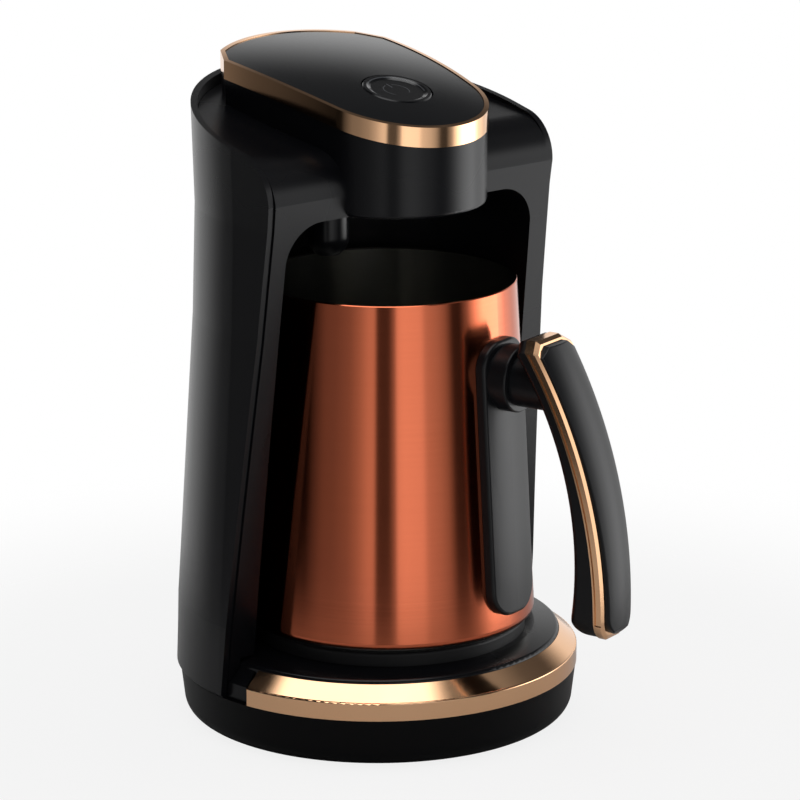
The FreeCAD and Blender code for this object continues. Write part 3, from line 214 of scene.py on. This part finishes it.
# Base dish: a round dish of satin black ABS, moulded with a fine spark-eroded grain. Four screws from
# below pull the deck down onto it.
class Finish:
    """A material with one Principled shader. Plain values go on the shader's own sockets."""

    def __init__(self, name, **plain):
        self.material = bpy.data.materials.new(name)
        self.material.use_nodes = True
        self.tree = self.material.node_tree
        self.shader = self.tree.nodes["Principled BSDF"]
        self.feed(**plain)

    def feed(self, **terms):
        for name, term in terms.items():
            plug(self.tree, self.shader.inputs[name.replace("_", " ")], term)

    def add(self, kind, output=0, settings=None, **terms):
        return add_node(self.tree, kind, output, settings, **terms)

    def squeeze(self, x, y, z):
        """A place to read noise from, with its axes scaled apart."""
        return self.add("CombineXYZ", X=x, Y=y, Z=z)

    def mottle(self, scale, where=None, detail=2.0, roughness=0.5):
        """Soft noise between 0 and 1, on the object's coordinates or on a given place."""
        place = where or self.add("TexCoord", "Object")
        return self.add("TexNoise", Vector=place, Scale=scale, Detail=detail, Roughness=roughness)

    def tint(self, share, low, high):
        """A colour between two colours."""
        mixed = self.add("Mix", 2, settings={"data_type": "RGBA"})
        for slot, term in zip((0, 6, 7), (share, low, high)):
            plug(self.tree, mixed.socket.node.inputs[slot], term)
        return mixed

    def vary(self, share, colours, roughness):
        """Colour and roughness, each between two values by the same share."""
        smooth, rough = roughness
        self.feed(Base_Color=self.tint(share, *colours), Roughness=smooth + (rough - smooth) * share)

    def relief(self, height, strength, distance):
        """Fine relief on the shader's normal."""
        self.feed(Normal=self.add("Bump", Strength=strength, Distance=distance, Height=height))


def dress(finish, *names):
    """Give CAD nodes a finish."""
    for name in names:
        piece = nodes[name]
        for slot in piece.material_slots:
            slot.material = finish.material
        for face in piece.data.polygons:
            face.use_smooth = True


satin = Finish("SatinBlackMoulding", Specular_IOR_Level=0.10)
cloud = satin.mottle(28.0, detail=3.0)
satin.vary(cloud, ((0.0018, 0.0018, 0.0022), (0.0032, 0.0033, 0.0040)), (0.34, 0.42))
satin.relief(satin.mottle(2600.0, detail=1.0), strength=0.16, distance=0.00005)
dress(satin, "base_shell")

# Feet and cord gland: moulded black rubber with fine pores. The feet are pushed into seats under the
# dish, and the gland into the hole low at its back.
rubber = Finish("BlackRubber", Specular_IOR_Level=0.25)
pores = rubber.mottle(1500.0)
rubber.vary(pores, ((0.010, 0.010, 0.010), (0.024, 0.024, 0.024)), (0.75, 0.85))
rubber.relief(pores, strength=0.3, distance=0.0001)
dress(rubber, "rubber_feet", "cord_gland")

# Trim ring, head band and grip frame: ABS mouldings plated with rose gold, with faint brush lines along
# them. They are clipped and screwed between the black mouldings.
BRUSH_ALONG, BRUSH_ACROSS = 0.05, 14.0
gold = Finish("RoseGoldPlate", Metallic=1.0)
gold_x, gold_y, gold_z = axes(gold.tree, "Object")
along = gold.squeeze(gold_x * BRUSH_ALONG, gold_y * BRUSH_ALONG, gold_z * BRUSH_ACROSS)
lines = gold.mottle(220.0, along, detail=3.0)
patina = gold.mottle(40.0)
gold.feed(Base_Color=gold.tint(patina, (0.90, 0.52, 0.29), (0.95, 0.58, 0.34)),
          Roughness=0.08 + 0.05 * lines)
gold.relief(lines, strength=0.05, distance=0.00005)
dress(gold, "trim_ring", "head_trim", "grip_trim")

# Hot plate: a cast disc, turned flat on top, with a black coating baked onto it. Its boss goes through
# the deck and is clamped from below.
plate = Finish("BakedBlackPlate", Specular_IOR_Level=0.25)
speck = plate.mottle(900.0, detail=3.0)
plate.vary(speck, ((0.005, 0.005, 0.006), (0.012, 0.012, 0.013)), (0.42, 0.57))
plate.relief(speck, strength=0.2, distance=0.00008)
dress(plate, "hot_plate")

# Screws, clamp, element, stud and nut: zinc-plated or drawn steel. They hold and heat from inside, and
# only the base screws' heads show, from below.
zinc = Finish("ZincPlatedSteel", Metallic=1.0)
zinc.vary(zinc.mottle(180.0), ((0.50, 0.51, 0.52), (0.68, 0.69, 0.70)), (0.25, 0.45))
dress(zinc, "base_screws", "plate_clamp", "heating_element", "board_screws", "arm_stud", "arm_nut",
      "grip_screw")

# Boards and components: green solder mask over woven glass, with grey moulded parts soldered on. They
# sit in the base and under the head's panel, out of sight.
mask = Finish("SolderMask", Coat_Weight=0.4)
mask.vary(mask.mottle(400.0), ((0.010, 0.085, 0.035), (0.018, 0.13, 0.055)), (0.3, 0.4))
dress(mask, "power_board", "control_board")

moulded = Finish("GreyComponent")
moulded.vary(moulded.mottle(500.0), ((0.12, 0.12, 0.13), (0.18, 0.18, 0.19)), (0.45, 0.55))
dress(moulded, "relay", "terminal_block", "thermostat", "switch_plunger", "start_switch", "buzzer",
      "ribbon_cable")

# Outer shell, fascia, head, sensor pod and deck: smooth black mouldings, a little glossier than the
# dish. The shell slides over the fascia, and the deck carries both.
shell = Finish("SmoothBlackShell", Specular_IOR_Level=0.25)
shell.vary(shell.mottle(16.0), ((0.0035, 0.0037, 0.0050), (0.0055, 0.0058, 0.0075)), (0.24, 0.30))
shell.relief(shell.mottle(1800.0, detail=1.0), strength=0.10, distance=0.00004)
dress(shell, "outer_shell", "inner_fascia", "head_housing", "foam_sensor", "deck")

# Top panel and start button: polished black mouldings. A thin grey ring and a plain power mark, a bow
# open to the back with a stroke in its gap, are printed on the button's dished face.
KEY_TILT = 0.973
PRINT_BLUR, PRINT_COVER = 0.0001, 0.85
PRINT_GREY = (0.11, 0.115, 0.125)
OUTLINE, BOW, STROKE_LENGTH = (0.0100, 0.0104), (0.0045, 0.0049), (0.0022, 0.0056)
STROKE_SIDE, GAP_SIDE, GAP_START = (0.00025, 0.00035), (0.0012, 0.0016), (0.0016, 0.0020)
FACE_FADE = 0.0004
glossy = Finish("PolishedBlackPanel", Specular_IOR_Level=0.45)
haze = glossy.mottle(22.0)
key_low, key_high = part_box("start_button")
key_x, key_y, key_z = axes(glossy.tree, "Object")
left = key_x - (key_low[0] + key_high[0]) / 2
ahead = (key_y - (key_low[1] + key_high[1]) / 2) / KEY_TILT
away = (left ** 2.0 + ahead ** 2.0) ** 0.5
on_face = (key_z - (key_low[2] + key_high[2]) / 2).soft(0.0, FACE_FADE)
outline = away.between(*OUTLINE, PRINT_BLUR)
gap = ahead.soft(*GAP_START) * (1.0 - abs(left).soft(*GAP_SIDE))
bow = away.between(*BOW, PRINT_BLUR) * (1.0 - gap)
stroke = (1.0 - abs(left).soft(*STROKE_SIDE)) * ahead.between(*STROKE_LENGTH, PRINT_BLUR)
marks = outline + bow + stroke
printed = on_face * marks.reckon("MINIMUM", marks, 1.0) * PRINT_COVER
plain = glossy.tint(haze, (0.006, 0.0064, 0.0080), (0.009, 0.0095, 0.0115))
glossy.feed(Base_Color=glossy.tint(printed, plain, PRINT_GREY), Roughness=0.12 + 0.05 * haze)
dress(glossy, "top_panel", "start_button")

# Sensor lens: a small window of smoked plastic, pressed into the pod that hangs from the cavity's
# ceiling. It looks down at the foam.
lens = Finish("SmokedWindow", Roughness=0.05)
lens.feed(Base_Color=lens.tint(lens.mottle(200.0), (0.01, 0.01, 0.012), (0.02, 0.02, 0.024)))
dress(lens, "sensor_lens")

# Pot: a drawn steel shell, brushed round its height. The outside is lacquered in a copper colour, and
# the inside and the rim's edge are bare.
RIM_RADIUS, HEM_RADIUS = 0.0464, (pot_high[0] - pot_low[0]) / 2
HEM_Z, WALL_MIDDLE, WALL_BLUR = 0.0416, 0.0006, 0.0001
HOOP_ALONG, HOOP_ACROSS = 0.15, 60.0
copper = Finish("LacqueredPot", Metallic=1.0, Anisotropic=0.78, Anisotropic_Rotation=0.25)
pot_x, pot_y, pot_z = axes(copper.tree, "Object")
from_axis = (pot_x ** 2.0 + (pot_y - POT_Y) ** 2.0) ** 0.5
taper = (HEM_RADIUS - RIM_RADIUS) / (RIM_Z - HEM_Z)
wall = RIM_RADIUS - WALL_MIDDLE + (RIM_Z - pot_z) * taper
outside = (from_axis - wall).soft(-WALL_BLUR, WALL_BLUR)
round_about = copper.squeeze(pot_x * HOOP_ALONG, pot_y * HOOP_ALONG, pot_z * HOOP_ACROSS)
hoops = copper.mottle(60.0, round_about, detail=4.0, roughness=0.65)
lacquer = copper.tint(hoops, (0.56, 0.134, 0.062), (0.66, 0.170, 0.084))
steel = copper.tint(hoops, (0.60, 0.59, 0.55), (0.78, 0.77, 0.73))
copper.feed(Base_Color=copper.tint(outside, steel, lacquer), Roughness=0.13 + 0.05 * hoops)
copper.relief(hoops, strength=0.07, distance=0.00005)
dress(copper, "pot_body")

# Pot's sole: a thick steel disc brazed under the pot, which spreads the plate's heat. It is left bare
# and turned flat.
sole = Finish("TurnedSole", Metallic=1.0)
sole.vary(sole.mottle(300.0), ((0.55, 0.55, 0.56), (0.70, 0.70, 0.71)), (0.3, 0.4))
dress(sole, "pot_sole")

# Handle: strap, collar, arm, grip halves and screw cap, moulded in a heat-proof black that is a little
# duller than the shell. A stud and a screw hold them to the pot and to each other.
heat_proof = Finish("HandleMoulding", Specular_IOR_Level=0.27)
flow = heat_proof.mottle(34.0, detail=3.0)
heat_proof.vary(flow, ((0.0050, 0.0052, 0.0064), (0.0080, 0.0083, 0.0100)), (0.30, 0.37))
heat_proof.relief(heat_proof.mottle(2400.0, detail=1.0), strength=0.12, distance=0.00004)
dress(heat_proof, "handle_bracket", "arm_collar", "handle_arm", "grip_inner", "grip_cover", "screw_cap")
